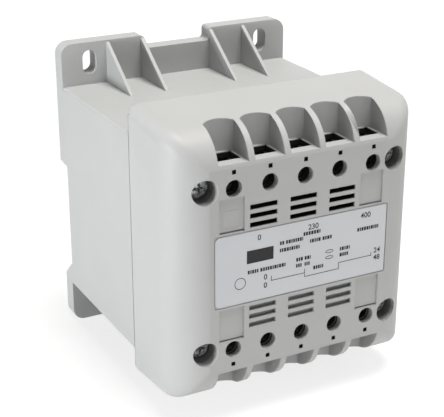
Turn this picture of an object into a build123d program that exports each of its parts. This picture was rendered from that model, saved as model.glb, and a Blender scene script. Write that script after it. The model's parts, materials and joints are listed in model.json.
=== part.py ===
from build123d import *
import math
import os

# Control transformer in a two-part moulded case that clips onto a 35 mm rail.
# X runs along the rail, Y from the front of the case to the rail, Z is up.
# The origin is the middle of the rail, on the plane of the rail's front lips.

# Case
case_width = 94.0
case_depth = 101.0
flange_overhang = 16.0
flange_thickness = 6.4
cover_depth = 34.5
cover_overhang = 10.0
cover_draft_deg = 5.5
cover_front_radius = 14.0
cover_edge_radius = 4.5
front_trim = 0.1
base_edge_radius = 1.0
wall = 2.5
case_above_rail = 9.0

# Rail seat at the back of the case
rail_height = 35.0
rail_lip_thickness = 1.0
rail_recess_depth = 7.0
rail_play = 0.7
recess_below_rail = 4.3
recess_upper_flare = 0.8
recess_lower_flare = 6.2
rear_wall = 3.0
upper_hollow_z = 12.0
hook_width = 14.0
hook_spacing = 50.0
hook_thickness = 3.0
hook_reach = 3.6
lip_gap = 0.5

# Fixing ears
ear_inner_x = 13.7
ear_step = 5.0
ear_corner_radius = 4.5
ear_inner_radius = 1.5
slot_length = 9.0
slot_width = 5.4
slot_side_x = 11.0
slot_end_z = 7.5
gusset_thickness = 1.4
gusset_inner_x = 14.4
gusset_outer_x = 28.5
gusset_reach = 21.5
gusset_drop = 0.8

# Seam between cover and base
lip_thickness = 1.4
lip_length = 3.0
seam_gap = 0.2

# Long cover screws through the corners of the core
cover_screw_diameter = 4.0
cover_screw_grip = 11.2
cover_head_diameter = 7.0
cover_head_height = 2.6
cover_cross_length = 4.2
cover_cross_width = 1.0
cover_cross_depth = 1.3
recess_diameter = 8.6
recess_depth = 8.0
recess_floor = 1.5
recess_wall = 0.8
tube_diameter = 7.2
tube_bore = 4.6
boss_diameter = 9.0
boss_spare_depth = 1.0
web_thickness = 1.5
thread_gap = 0.05

# Core and windings
core_front_depth = 44.8
core_side_room = 1.6
core_level_room = 1.75
core_gap = 0.25
core_back_room = 14.2
core_hole = 4.6
side_rib_z = 15.0
level_rib_x = 20.0
rib_thickness = 2.0
bobbin_gap = 0.2
bobbin_wall = 1.2
cheek_thickness = 1.3
cheek_gap = 0.7
divider_thickness = 1.2
winding_gap = 0.1
winding_inset = 0.7
winding_leg_gap = 1.5
winding_corner_radius = 6.0

# Terminal rows
poles = 5
pole_screw_room = 9.35
pole_offset = 0.4
access_diameter = 5.9
guide_wall = 1.25
guide_end_depth = 5.0
marker_size = 1.5
marker_gap = 5.6
marker_depth = 1.6
pocket_front_depth = 4.1
pocket_side_depth = 10.8
pocket_back_depth = 13.4
pocket_height = 13.1
pocket_floor_thickness = 2.3
pocket_wall = 2.2
wire_opening_inset = 0.6
wire_opening_depth = 7.6
wire_opening_front = 4.4

# Terminal blocks behind the rows
block_front_depth = 5.3
block_rear_depth = 24.0
block_inner_wall = 3.0
block_end_wall = 3.2
block_gap = 0.25
chamber_room = 0.8
chamber_reach = 5.6
coring_wall = 1.3
coring_front_depth = 8.0
lug_width = 11.2
lug_length = 3.4
lug_gap = 0.2

# Terminal screws, clamping plates and contact bars
screw_diameter = 3.5
screw_pitch = 0.6
screw_turns = 4
screw_head_diameter = 6.6
screw_head_height = 2.4
screw_head_depth = 5.6
screw_shank = 7.4
cross_length = 4.0
cross_width = 0.9
cross_depth = 1.1
tip_room = 1.0
running_gap = 0.1
plate_room = 0.5
plate_height = 8.6
plate_thickness = 1.1
plate_lip = 0.5
bar_reach = 4.8
bar_thickness = 2.0
bar_front_depth = 12.4
tail_width = 4.0
tail_thickness = 1.0
tail_end_depth = 29.0
tail_gap = 0.15

# Front face
vent_length = 10.2
vent_height = 1.75
vent_pitch_x = 15.0
vent_pitch_z = 3.1
vent_group_z = 18.0
vent_columns = 3
vent_rows = 3
lower_vent_depth = 1.8
label_width = 66.0
label_height = 25.0
label_thickness = 0.3
label_depth = 0.1
label_x = 0.25
label_z = 0.15
label_margin = 0.4
label_corner = 2.0
label_recess_corner = 0.8
mark_width = 9.2
mark_height = 12.0
mark_x = 26.6
mark_z = 19.4
mark_depth = 0.8
mark_groove_height = 0.5
mark_groove_depth = 1.6

# Rail latch and its spring
latch_width = 24.0
latch_front_y = 2.4
latch_rear_y = 6.0
latch_shelf_y = 0.4
latch_shelf_length = 4.0
latch_nose_reach = 3.4
latch_nose_tip = 1.0
latch_nose_bevel = 4.2
latch_end_gap = 0.5
latch_end_radius = 2.0
latch_travel = 5.0
latch_gap = 0.3
tongue_width = 1.2
tongue_thickness = 1.8
tongue_below_shelf = 8.2
tongue_above_end = 5.0
window_width = 5.2
window_below_shelf = 3.2
window_above_end = 8.5
peg_height = 2.0
driver_slot_width = 8.0
driver_slot_height = 1.8
driver_slot_above_end = 2.3
spring_diameter = 3.3
spring_wire = 0.4
spring_turns = 5

# Leads from the windings to the contact bars
lead_size = 1.6
lead_bend_z = 14.0
lead_start_z = 6.0
lead_spread = 0.6

# Worked out from the sizes above
front_y = rail_recess_depth - case_depth
half_width = case_width / 2
inner_half_x = half_width - wall
core_half_x = inner_half_x - core_side_room
core_leg = core_half_x / 1.5
core_half_z = 1.25 * core_leg
window_half = 0.75 * core_leg
core_screw_x = 1.25 * core_leg
core_screw_z = core_leg
inner_half_z = core_half_z + core_level_room
base_half = inner_half_z + wall
cover_half = base_half + cover_overhang
flange_half = base_half + flange_overhang
flange_front = case_depth - flange_thickness
slot_spacing_x = case_width - 2 * slot_side_x
slot_spacing_z = 2 * (flange_half - slot_end_z)
inner_back = case_depth - rail_recess_depth - rear_wall
core_rear = inner_back - core_back_room
core_stack = core_rear - core_front_depth
core_middle = core_front_depth + core_stack / 2
cover_screw_length = core_rear + cover_screw_grip - recess_depth
draft_slope = math.tan(math.radians(cover_draft_deg))
rail_half = rail_height / 2
recess_top_z = rail_half + rail_play
recess_bottom_z = -rail_half - recess_below_rail
lip_back_y = rail_lip_thickness + lip_gap
terminal_z = core_screw_z
pocket_floor_z = cover_half - pocket_height
chamber_inner_z = terminal_z - chamber_reach
block_inner_z = chamber_inner_z - block_inner_wall
bar_outer_z = terminal_z + bar_reach
bar_rear = bar_front_depth + bar_thickness
plate_front = screw_head_depth + screw_head_height + running_gap
screw_travel = screw_turns * screw_pitch
plate_slot = screw_diameter + 2 * running_gap
pole_pitch = 2 * (core_screw_x - pole_screw_room) / (poles - 1)
guide_width = access_diameter + 2 * guide_wall
pocket_width = pole_pitch - pocket_wall
wire_opening_width = pocket_width - 2 * wire_opening_inset
chamber_width = screw_head_diameter + 2 * chamber_room
coring_width = pole_pitch - chamber_width - 2 * coring_wall
plate_width = chamber_width - 2 * plate_room
pole_x = [pole_offset + pole_pitch * (pole - (poles - 1) / 2) for pole in range(poles)]
rows = (("upper", 1), ("lower", -1))


def at_depth(depth):
    """Sketch plane facing the front: X, and height above the middle of the case."""
    return Plane(origin=(0, front_y + depth, case_above_rail), x_dir=(1, 0, 0), z_dir=(0, -1, 0))


def side_plane(x):
    """Sketch plane seen from the right: depth, and height above the middle of the case."""
    return Plane(origin=(x, front_y, case_above_rail), x_dir=(0, 1, 0), z_dir=(1, 0, 0))


def level_plane(z):
    """Level sketch plane at a height above the middle of the case: X and depth."""
    return Plane(origin=(0, front_y, case_above_rail + z), x_dir=(1, 0, 0), z_dir=(0, 0, 1))


def save(part, label):
    part.label = label
    export_step(part, f"parts/{label}.step")


def cover_form(inset, rear_depth, edge_radius):
    """The cover's rounded form, drawn in by a wall, from its front to a given depth.

    The front face cuts the rounding just before it runs out.
    """
    trim_depth = inset - front_trim
    rear_half = cover_half - (cover_depth - rear_depth) * draft_slope - inset
    front_half = rear_half - (rear_depth - trim_depth) * draft_slope
    side = half_width - inset
    with BuildPart() as form:
        with BuildSketch(side_plane(-side)):
            with BuildLine():
                Polyline(
                    (rear_depth, -rear_half),
                    (trim_depth, -front_half),
                    (trim_depth, front_half),
                    (rear_depth, rear_half),
                    close=True,
                )
            make_face()
        extrude(amount=2 * side)
        fillet(form.edges().group_by(Axis.Y)[0], cover_front_radius - inset)
        if edge_radius:
            long_edges = form.edges().filter_by(
                lambda edge: edge.length > cover_front_radius and abs(edge.tangent_at(0.5).Y) > 0.9
            )
            fillet(long_edges, edge_radius)
        split(bisect_by=at_depth(inset), keep=Keep.BOTTOM)
    return form.part


os.makedirs("parts", exist_ok=True)

# Rear base: an open box with the fixing flange, the rail recess and the latch guide
guide_half = latch_width / 2 + latch_gap
guide_front_y = latch_front_y - latch_gap
groove_rear_y = latch_front_y + tongue_thickness + latch_gap
latch_step_z = -rail_half - latch_gap
latch_shelf_z = latch_step_z - latch_shelf_length
latch_end_z = case_above_rail - flange_half + latch_end_gap
window_top_z = latch_shelf_z - window_below_shelf
window_bottom_z = latch_end_z + window_above_end
peg_bottom_z = window_bottom_z + latch_gap
peg_width = window_width - 2 * latch_gap
side_rib = core_side_room - core_gap
level_rib = core_level_room - core_gap

with BuildPart() as rear_base:
    with BuildSketch(at_depth(cover_depth)):
        RectangleRounded(case_width, 2 * base_half, base_edge_radius)
    extrude(amount=cover_depth - case_depth)
    # Flange with four slotted ears
    with BuildSketch(at_depth(flange_front)) as flange:
        Rectangle(case_width, 2 * flange_half)
        with Locations((0, flange_half), (0, -flange_half)):
            Rectangle(2 * ear_inner_x, 2 * ear_step, mode=Mode.SUBTRACT)
        by_side = flange.vertices().group_by(lambda corner: round(abs(corner.X), 3))
        fillet(by_side[-1], ear_corner_radius)
        inner_corners = flange.vertices().group_by(lambda corner: round(abs(corner.X), 3))[0]
        fillet(inner_corners, ear_inner_radius)
        with GridLocations(slot_spacing_x, slot_spacing_z, 2, 2):
            SlotOverall(slot_length, slot_width, rotation=90, mode=Mode.SUBTRACT)
    extrude(amount=-flange_thickness)
    # Thin gussets in front of the ears
    for gusset_x in (-gusset_outer_x, -gusset_inner_x, gusset_inner_x, gusset_outer_x):
        with BuildSketch(side_plane(gusset_x - gusset_thickness / 2)):
            for side in (1, -1):
                with BuildLine():
                    Polyline(
                        (flange_front - gusset_reach, side * base_half),
                        (flange_front, side * (flange_half - gusset_drop)),
                        (flange_front, side * base_half),
                        close=True,
                    )
                make_face()
        extrude(amount=gusset_thickness)
    # Hollow, deeper above the rail
    with BuildSketch(at_depth(cover_depth)):
        Rectangle(2 * inner_half_x, 2 * inner_half_z)
    extrude(amount=cover_depth - inner_back, mode=Mode.SUBTRACT)
    with BuildSketch(at_depth(inner_back)):
        with Locations((0, (upper_hollow_z + inner_half_z) / 2)):
            Rectangle(2 * inner_half_x, inner_half_z - upper_hollow_z)
    extrude(amount=inner_back + wall - case_depth, mode=Mode.SUBTRACT)
    # Screw bosses with webs to the walls
    with BuildSketch(at_depth(core_rear)):
        with GridLocations(2 * core_screw_x, 2 * core_screw_z, 2, 2):
            Circle(boss_diameter / 2)
        with GridLocations(core_screw_x + inner_half_x, 2 * core_screw_z, 2, 2):
            Rectangle(inner_half_x - core_screw_x, web_thickness)
        with GridLocations(2 * core_screw_x, core_screw_z + inner_half_z, 2, 2):
            Rectangle(web_thickness, inner_half_z - core_screw_z)
    extrude(amount=core_rear + wall - case_depth)
    with BuildSketch(at_depth(core_rear)):
        with GridLocations(2 * core_screw_x, 2 * core_screw_z, 2, 2):
            Circle(cover_screw_diameter / 2 + thread_gap)
    screw_end = recess_depth + cover_screw_length
    extrude(amount=core_rear - screw_end - boss_spare_depth, mode=Mode.SUBTRACT)
    # Ribs that centre the core
    with BuildSketch(at_depth(core_front_depth)):
        with GridLocations(2 * inner_half_x - side_rib, 2 * side_rib_z, 2, 2):
            Rectangle(side_rib, rib_thickness)
        with GridLocations(2 * level_rib_x, 2 * inner_half_z - level_rib, 2, 2):
            Rectangle(rib_thickness, level_rib)
    extrude(amount=core_front_depth - inner_back)
    # Lip that enters the cover
    with BuildSketch(at_depth(cover_depth + lip_length)):
        Rectangle(2 * inner_half_x, 2 * inner_half_z)
    extrude(amount=lip_length)
    with BuildSketch(at_depth(cover_depth)):
        Rectangle(2 * (inner_half_x - seam_gap), 2 * (inner_half_z - seam_gap))
    extrude(amount=lip_length)
    with BuildSketch(at_depth(cover_depth + lip_length)):
        Rectangle(2 * (inner_half_x - lip_thickness), 2 * (inner_half_z - lip_thickness))
    extrude(amount=2 * lip_length, mode=Mode.SUBTRACT)
    # Recess for the rail, flared at its mouth
    with BuildSketch(Plane.YZ.offset(-half_width)):
        with BuildLine():
            Polyline(
                (0, recess_bottom_z),
                (0, recess_top_z),
                (rail_recess_depth, recess_top_z + recess_upper_flare),
                (rail_recess_depth, recess_bottom_z - recess_lower_flare),
                close=True,
            )
        make_face()
    extrude(amount=case_width, mode=Mode.SUBTRACT)
    # Fixed hooks behind the rail's upper lip
    for hook_x in (-hook_spacing / 2, hook_spacing / 2):
        with BuildSketch(Plane.YZ.offset(hook_x - hook_width / 2)):
            with BuildLine():
                Polyline(
                    (lip_back_y, recess_top_z + recess_upper_flare),
                    (lip_back_y, rail_half - hook_reach),
                    (lip_back_y + hook_thickness / 2, rail_half - hook_reach),
                    (lip_back_y + hook_thickness, rail_half),
                    (lip_back_y + hook_thickness, recess_top_z + recess_upper_flare),
                    close=True,
                )
            make_face()
        extrude(amount=hook_width)
    # Guide for the latch: open to the back, undercut at both sides
    with BuildSketch(Plane.XY.offset(recess_bottom_z)):
        with Locations((0, (guide_front_y + rail_recess_depth) / 2)):
            Rectangle(2 * guide_half, rail_recess_depth - guide_front_y)
        with Locations((0, (guide_front_y + groove_rear_y) / 2)):
            Rectangle(2 * (guide_half + tongue_width), groove_rear_y - guide_front_y)
    extrude(amount=case_above_rail - flange_half - recess_bottom_z, mode=Mode.SUBTRACT)
    with BuildSketch(Plane.XY.offset(recess_bottom_z)):
        with Locations((0, (latch_shelf_y - latch_gap + latch_rear_y) / 2)):
            Rectangle(2 * guide_half, latch_rear_y - latch_shelf_y + latch_gap)
    shelf_room_z = latch_shelf_z - latch_travel - latch_gap
    extrude(amount=shelf_room_z - recess_bottom_z, mode=Mode.SUBTRACT)
    # Peg under the latch spring
    with BuildSketch(Plane.XY.offset(peg_bottom_z)):
        with Locations((0, (guide_front_y + latch_rear_y) / 2)):
            Rectangle(peg_width, latch_rear_y - guide_front_y)
    extrude(amount=peg_height)
save(rear_base.part, "rear_base")

# Front cover: rounded shell with wire pockets, screw guides, recesses and vents
bank_floor_z = pocket_floor_z - pocket_floor_thickness
bank_half = (poles * pole_pitch + pocket_wall) / 2
bank_depth = pocket_back_depth + pocket_wall

with BuildPart() as hollow:
    add(cover_form(wall, cover_depth - wall, 0))
    with BuildSketch(at_depth(cover_depth - wall)):
        Rectangle(2 * inner_half_x, 2 * inner_half_z)
    extrude(amount=-wall)
    # What is taken out of the hollow is left standing in the cover
    with BuildSketch(at_depth(0)):
        for row, side in rows:
            with Locations(*[(x, side * terminal_z) for x in pole_x]):
                Rectangle(guide_width, guide_width)
    extrude(amount=-guide_end_depth, mode=Mode.SUBTRACT)
    with BuildSketch(at_depth(0)):
        with GridLocations(2 * core_screw_x, 2 * core_screw_z, 2, 2):
            Circle(recess_diameter / 2 + recess_wall)
    extrude(amount=-recess_depth - recess_floor, mode=Mode.SUBTRACT)
    with BuildSketch(at_depth(0)):
        with GridLocations(2 * core_screw_x, 2 * core_screw_z, 2, 2):
            Circle(tube_diameter / 2)
    extrude(amount=-cover_depth, mode=Mode.SUBTRACT)
    with BuildSketch(at_depth(0)):
        for row, side in rows:
            with Locations((pole_offset, side * (bank_floor_z + flange_half) / 2)):
                Rectangle(2 * bank_half, flange_half - bank_floor_z)
    extrude(amount=-bank_depth, mode=Mode.SUBTRACT)

with BuildPart() as front_cover:
    add(cover_form(0, cover_depth, cover_edge_radius))
    add(hollow.part, mode=Mode.SUBTRACT)
    # Fine open seam between the rims of cover and base
    with BuildSketch(at_depth(cover_depth - seam_gap)):
        Rectangle(case_width, 2 * cover_half)
    extrude(amount=-seam_gap, mode=Mode.SUBTRACT)
    # Tubes that press on the core
    with BuildSketch(at_depth(cover_depth - wall)):
        with GridLocations(2 * core_screw_x, 2 * core_screw_z, 2, 2):
            Circle(tube_diameter / 2)
    extrude(amount=cover_depth - wall - core_front_depth)
    # Wire pockets, with an opening in each floor
    for row, side in rows:
        with BuildSketch(level_plane(side * pocket_floor_z)):
            for x in pole_x:
                left = x - pocket_width / 2
                right = x + pocket_width / 2
                with BuildLine():
                    Polyline(
                        (left, pocket_side_depth),
                        (left, pocket_front_depth),
                        (right, pocket_front_depth),
                        (right, pocket_side_depth),
                    )
                    ThreePointArc(
                        (right, pocket_side_depth),
                        (x, pocket_back_depth),
                        (left, pocket_side_depth),
                    )
                make_face()
        extrude(amount=side * pocket_height, mode=Mode.SUBTRACT)
        with BuildSketch(level_plane(side * pocket_floor_z)):
            with Locations(*[(x, wire_opening_front + wire_opening_depth / 2) for x in pole_x]):
                Rectangle(wire_opening_width, wire_opening_depth)
        extrude(amount=-side * pocket_floor_thickness, mode=Mode.SUBTRACT)
        # Front edge of the pockets, below the rounding of the form
        with BuildSketch(level_plane(side * pocket_floor_z)):
            with Locations(*[(x, 0) for x in pole_x]):
                Rectangle(pocket_width, 2 * pocket_front_depth + 2 * running_gap)
        extrude(amount=side * pocket_height, mode=Mode.SUBTRACT)
    # Holes for the screwdriver, small marker holes and vents
    with BuildSketch(at_depth(0)):
        for row, side in rows:
            with Locations(*[(x, side * terminal_z) for x in pole_x]):
                Circle(access_diameter / 2)
    extrude(amount=-guide_end_depth, mode=Mode.SUBTRACT)
    with BuildSketch(at_depth(0)):
        for row, side in rows:
            with Locations(*[(x, side * (terminal_z + marker_gap)) for x in pole_x]):
                Rectangle(marker_size, marker_size)
    extrude(amount=-marker_depth, mode=Mode.SUBTRACT)
    for side, vent_depth in ((1, 2 * wall), (-1, lower_vent_depth)):
        with BuildSketch(at_depth(0)):
            with Locations((0, side * vent_group_z)):
                with GridLocations(vent_pitch_x, vent_pitch_z, vent_columns, vent_rows):
                    Rectangle(vent_length, vent_height)
        extrude(amount=-vent_depth, mode=Mode.SUBTRACT)
    # Recesses and bores of the cover screws
    with BuildSketch(at_depth(0)):
        with GridLocations(2 * core_screw_x, 2 * core_screw_z, 2, 2):
            Circle(recess_diameter / 2)
    extrude(amount=-recess_depth, mode=Mode.SUBTRACT)
    with BuildSketch(at_depth(0)):
        with GridLocations(2 * core_screw_x, 2 * core_screw_z, 2, 2):
            Circle(tube_bore / 2)
    extrude(amount=-core_front_depth, mode=Mode.SUBTRACT)
    # Shallow fields for the label and for marking the terminals
    with BuildSketch(at_depth(0)):
        with Locations((label_x, label_z)):
            RectangleRounded(
                label_width + 2 * label_margin, label_height + 2 * label_margin, label_recess_corner
            )
    extrude(amount=-label_depth - label_thickness, mode=Mode.SUBTRACT)
    with BuildSketch(at_depth(0)):
        with GridLocations(2 * mark_x, 2 * mark_z, 2, 2):
            Rectangle(mark_width, mark_height)
    extrude(amount=-mark_depth, mode=Mode.SUBTRACT)
    # Groove along the lower edge of each field, to lift a marking tag out
    with BuildSketch(at_depth(0)):
        with GridLocations(2 * mark_x, 2 * mark_z, 2, 2):
            with Locations((0, (mark_groove_height - mark_height) / 2)):
                Rectangle(mark_width, mark_groove_height)
    extrude(amount=-mark_groove_depth, mode=Mode.SUBTRACT)
save(front_cover.part, "front_cover")

# Rating label, left bare, with its left corners rounded
with BuildPart() as rating_label:
    with BuildSketch(at_depth(label_depth)) as label_outline:
        with Locations((label_x, label_z)):
            Rectangle(label_width, label_height)
        fillet(label_outline.vertices().group_by(Axis.X)[0], label_corner)
    extrude(amount=-label_thickness)
save(rating_label.part, "rating_label")

# Four long screws hold cover, core and base together
with BuildPart() as cover_screws:
    with BuildSketch(at_depth(recess_depth)):
        with GridLocations(2 * core_screw_x, 2 * core_screw_z, 2, 2):
            Circle(cover_head_diameter / 2)
    extrude(amount=cover_head_height)
    with BuildSketch(at_depth(recess_depth)):
        with GridLocations(2 * core_screw_x, 2 * core_screw_z, 2, 2):
            Circle(cover_screw_diameter / 2)
    extrude(amount=-cover_screw_length)
    with BuildSketch(at_depth(recess_depth - cover_head_height)):
        with GridLocations(2 * core_screw_x, 2 * core_screw_z, 2, 2):
            Rectangle(cover_cross_length, cover_cross_width)
            Rectangle(cover_cross_width, cover_cross_length)
    extrude(amount=-cover_cross_depth, mode=Mode.SUBTRACT)
save(cover_screws.part, "cover_screws")

# Terminal blocks: chambers open to the front and to the wire pockets
block_outer_z = bank_floor_z - seam_gap
block_half = (poles - 1) * pole_pitch / 2 + chamber_width / 2 + block_end_wall
lug_front = recess_depth + recess_floor + block_gap
lug_inner_z = core_screw_z - lug_width / 2
lug_outer_z = block_outer_z - lug_gap
relief_width = recess_diameter + 2 * (recess_wall + block_gap)
tip_depth = screw_head_depth + screw_head_height + screw_shank + screw_travel + tip_room
for row, side in rows:
    lug_middle_z = side * (lug_inner_z + lug_outer_z) / 2
    with BuildPart() as terminal_block:
        with BuildSketch(at_depth(block_front_depth)):
            with Locations((pole_offset, side * (block_inner_z + block_outer_z) / 2)):
                Rectangle(2 * block_half, block_outer_z - block_inner_z)
        extrude(amount=block_front_depth - block_rear_depth)
        with BuildSketch(at_depth(block_front_depth)):
            with Locations((-core_screw_x, side * core_screw_z), (core_screw_x, side * core_screw_z)):
                Rectangle(relief_width, relief_width)
        extrude(amount=block_front_depth - lug_front, mode=Mode.SUBTRACT)
        # Lugs that sit on the tubes of the cover
        with BuildSketch(at_depth(lug_front)):
            with Locations((-core_screw_x, lug_middle_z), (core_screw_x, lug_middle_z)):
                Rectangle(lug_width, lug_outer_z - lug_inner_z)
        extrude(amount=-lug_length)
        with BuildSketch(at_depth(lug_front)):
            with Locations((-core_screw_x, side * core_screw_z), (core_screw_x, side * core_screw_z)):
                Rectangle(tube_diameter + 2 * block_gap, tube_diameter + 2 * block_gap)
        extrude(amount=lug_front - block_rear_depth, mode=Mode.SUBTRACT)
        # Chambers, slots for the tails and room for the screw tips
        with BuildSketch(at_depth(block_front_depth)):
            with Locations(*[(x, side * (chamber_inner_z + block_outer_z) / 2) for x in pole_x]):
                Rectangle(chamber_width, block_outer_z - chamber_inner_z)
        extrude(amount=block_front_depth - bar_rear, mode=Mode.SUBTRACT)
        tail_slot = tail_thickness + running_gap + tail_gap
        with BuildSketch(at_depth(bar_rear)):
            with Locations(*[(x, side * (chamber_inner_z + tail_slot / 2)) for x in pole_x]):
                Rectangle(tail_width + 2 * tail_gap, tail_slot)
        extrude(amount=bar_rear - block_rear_depth, mode=Mode.SUBTRACT)
        with BuildSketch(at_depth(bar_rear)):
            with Locations(*[(x, side * terminal_z) for x in pole_x]):
                Rectangle(screw_diameter + 2 * block_gap, screw_diameter + 2 * block_gap)
        extrude(amount=bar_rear - tip_depth, mode=Mode.SUBTRACT)
        # Coring between the poles, open at the back
        with BuildSketch(at_depth(coring_front_depth)):
            with Locations((pole_offset, side * (chamber_inner_z + block_outer_z) / 2)):
                with GridLocations(pole_pitch, 0, poles - 1, 1):
                    Rectangle(coring_width, block_outer_z - chamber_inner_z - pocket_wall)
        extrude(amount=coring_front_depth - block_rear_depth, mode=Mode.SUBTRACT)
    save(terminal_block.part, f"{row}_terminal_block")

# One contact bar, clamping plate and screw for each pole, numbered from the upper left
number = 0
for row, side in rows:
    for x in pole_x:
        number += 1
        bar_inner_z = chamber_inner_z + running_gap
        with BuildPart() as contact_bar:
            with BuildSketch(at_depth(bar_front_depth)):
                with Locations((x, side * (bar_inner_z + bar_outer_z) / 2)):
                    Rectangle(chamber_width - 2 * running_gap, bar_outer_z - bar_inner_z)
            extrude(amount=-bar_thickness)
            with BuildSketch(at_depth(bar_front_depth)):
                with Locations((x, side * (bar_inner_z + tail_thickness / 2))):
                    Rectangle(tail_width, tail_thickness)
            extrude(amount=bar_front_depth - tail_end_depth)
            with BuildSketch(at_depth(bar_front_depth)):
                with Locations((x, side * terminal_z)):
                    Circle(screw_diameter / 2 + thread_gap)
            extrude(amount=-bar_thickness, mode=Mode.SUBTRACT)
        save(contact_bar.part, f"contact_bar_{number:02d}")

        with BuildPart() as clamp_plate:
            with BuildSketch(at_depth(plate_front)):
                with Locations((x, side * terminal_z)):
                    Rectangle(plate_width, plate_height)
                    Rectangle(plate_slot, plate_slot, mode=Mode.SUBTRACT)
            extrude(amount=-plate_thickness)
            with BuildSketch(at_depth(plate_front + plate_thickness)):
                with Locations((x, side * terminal_z)):
                    with GridLocations(plate_width - plate_lip, 0, 2, 1):
                        Rectangle(plate_lip, plate_height)
            extrude(amount=-plate_lip)
        save(clamp_plate.part, f"clamp_plate_{number:02d}")

        with BuildPart() as terminal_screw:
            with BuildSketch(at_depth(screw_head_depth + screw_head_height)):
                with Locations((x, side * terminal_z)):
                    Circle(screw_head_diameter / 2)
            extrude(amount=screw_head_height)
            with BuildSketch(at_depth(screw_head_depth + screw_head_height)):
                with Locations((x, side * terminal_z)):
                    Circle(screw_diameter / 2)
            extrude(amount=-screw_shank)
            with BuildSketch(at_depth(screw_head_depth)):
                with Locations((x, side * terminal_z)):
                    Rectangle(cross_length, cross_width)
                    Rectangle(cross_width, cross_length)
            extrude(amount=-cross_depth, mode=Mode.SUBTRACT)
        save(terminal_screw.part, f"terminal_screw_{number:02d}")

# Core: a stack of E laminations closed by a stack of I laminations
with BuildPart() as core_e_stack:
    with BuildSketch(at_depth(core_front_depth)):
        with Locations((0, (window_half - core_half_z) / 2)):
            Rectangle(2 * core_half_x, window_half + core_half_z)
        with GridLocations(1.5 * core_leg, 0, 2, 1):
            Rectangle(core_leg / 2, 2 * window_half, mode=Mode.SUBTRACT)
        with Locations((-core_screw_x, -core_screw_z), (core_screw_x, -core_screw_z)):
            Circle(core_hole / 2, mode=Mode.SUBTRACT)
    extrude(amount=-core_stack)
save(core_e_stack.part, "core_e_stack")

with BuildPart() as core_i_stack:
    with BuildSketch(at_depth(core_front_depth)):
        with Locations((0, core_screw_z)):
            Rectangle(2 * core_half_x, core_leg / 2)
        with Locations((-core_screw_x, core_screw_z), (core_screw_x, core_screw_z)):
            Circle(core_hole / 2, mode=Mode.SUBTRACT)
    extrude(amount=-core_stack)
save(core_i_stack.part, "core_i_stack")

# Bobbin with two chambers round the middle leg
cheek_reach = core_back_room - cheek_gap
bobbin_half_z = window_half - bobbin_gap
tube_inner_x = core_leg / 2 + bobbin_gap
tube_inner_y = core_stack / 2 + bobbin_gap
with BuildPart() as bobbin:
    with BuildSketch(level_plane(-bobbin_half_z)):
        with Locations((0, core_middle)):
            Rectangle(2 * (tube_inner_x + bobbin_wall), 2 * (tube_inner_y + bobbin_wall))
    extrude(amount=2 * bobbin_half_z)
    cheek_heights = (
        (-bobbin_half_z, cheek_thickness),
        (-divider_thickness / 2, divider_thickness),
        (bobbin_half_z - cheek_thickness, cheek_thickness),
    )
    for cheek_z, thickness in cheek_heights:
        with BuildSketch(level_plane(cheek_z)):
            with Locations((0, core_middle)):
                Rectangle(2 * (core_leg - bobbin_gap), core_stack + 2 * cheek_reach)
        extrude(amount=thickness)
    with BuildSketch(level_plane(-bobbin_half_z)):
        with Locations((0, core_middle)):
            Rectangle(2 * tube_inner_x, 2 * tube_inner_y)
    extrude(amount=2 * bobbin_half_z, mode=Mode.SUBTRACT)
save(bobbin.part, "bobbin")

# Windings with their outer tape, the primary in the upper chamber
winding_low_z = divider_thickness / 2 + winding_gap
winding_high_z = bobbin_half_z - cheek_thickness - winding_gap
winding_inner_x = tube_inner_x + bobbin_wall + winding_gap
winding_inner_y = tube_inner_y + bobbin_wall + winding_gap
winding_outer_y = core_stack / 2 + cheek_reach - winding_inset
winding_outer_x = core_leg - winding_leg_gap
for label, side in (("primary_winding", 1), ("secondary_winding", -1)):
    with BuildPart() as winding:
        with BuildSketch(level_plane(side * winding_low_z)):
            with Locations((0, core_middle)):
                RectangleRounded(2 * winding_outer_x, 2 * winding_outer_y, winding_corner_radius)
                Rectangle(2 * winding_inner_x, 2 * winding_inner_y, mode=Mode.SUBTRACT)
        extrude(amount=side * (winding_high_z - winding_low_z))
    save(winding.part, label)

# Leads from the windings to the tails of the contact bars
lead_depth = core_middle - winding_outer_y - lead_size / 2
tail_face_z = chamber_inner_z + running_gap - tail_gap
solder_depth = tail_end_depth - lead_size
primary_x = pole_x[::2]
secondary_x = [x for x in pole_x if x != pole_offset]
for label, used_x, side in (("primary_leads", primary_x, 1), ("secondary_leads", secondary_x, -1)):
    with BuildPart() as leads:
        for x in used_x:
            winding_x = x * lead_spread
            route = (
                (winding_x, lead_depth, lead_start_z),
                (winding_x, lead_depth, lead_bend_z),
                (x, solder_depth, tail_face_z - lead_size),
                (x, solder_depth, tail_face_z),
            )
            points = [(px, front_y + depth, case_above_rail + side * z) for px, depth, z in route]
            with BuildLine() as lead_line:
                Polyline(*points)
            with BuildSketch(Plane(origin=points[0], z_dir=(0, 0, side))):
                Rectangle(lead_size, lead_size)
            sweep(path=lead_line.wire(), transition=Transition.RIGHT)
    save(leads.part, label)

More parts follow.
